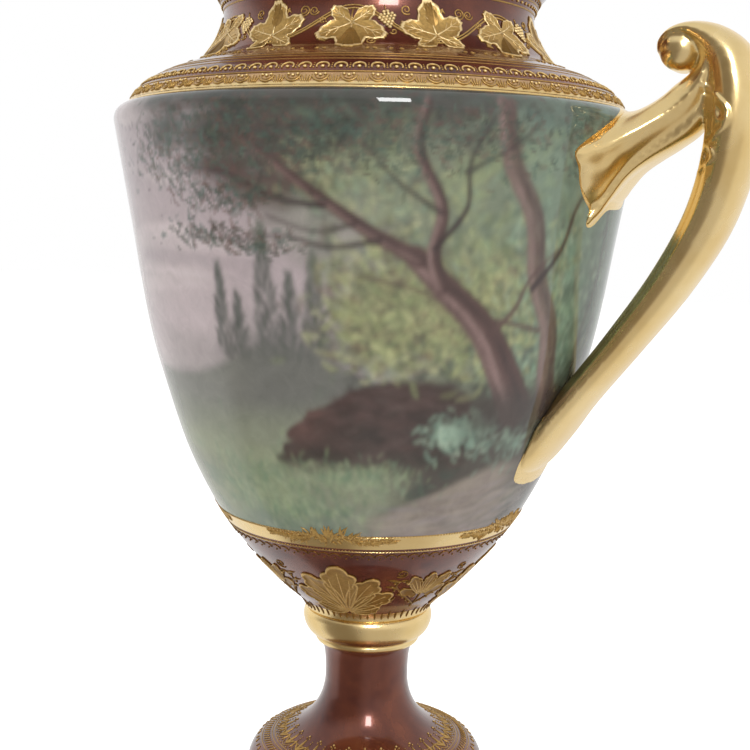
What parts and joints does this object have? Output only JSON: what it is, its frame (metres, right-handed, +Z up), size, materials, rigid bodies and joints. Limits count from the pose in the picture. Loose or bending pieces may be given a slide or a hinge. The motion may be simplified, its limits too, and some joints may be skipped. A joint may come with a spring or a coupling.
{
  "type": "mantel urn",
  "caption": "Hollow porcelain mantel urn on a waisted pedestal foot, with a flared neck, a painted landscape, raised gilding and a gilt scroll handle.",
  "frame": {"origin": "centre of the foot's flat underside", "axes": "+Z up along the vase's axis; +X towards the handle; +Y completes a right-handed frame"},
  "size_m": [0.3041, 0.2472, 0.4],
  "materials": {
    "painted_glaze": "glossy glaze over a painted landscape, with burgundy lustre and raised gilding on the neck and base",
    "gilding": "burnished gold over glazed porcelain",
    "burgundy_lustre": "glossy burgundy lustre with gilt lines"
  },
  "bodies": {
    "root": {"vase_body": "painted_glaze", "handle": "gilding", "pedestal_foot": "burgundy_lustre"}
  },
  "joints": []
}
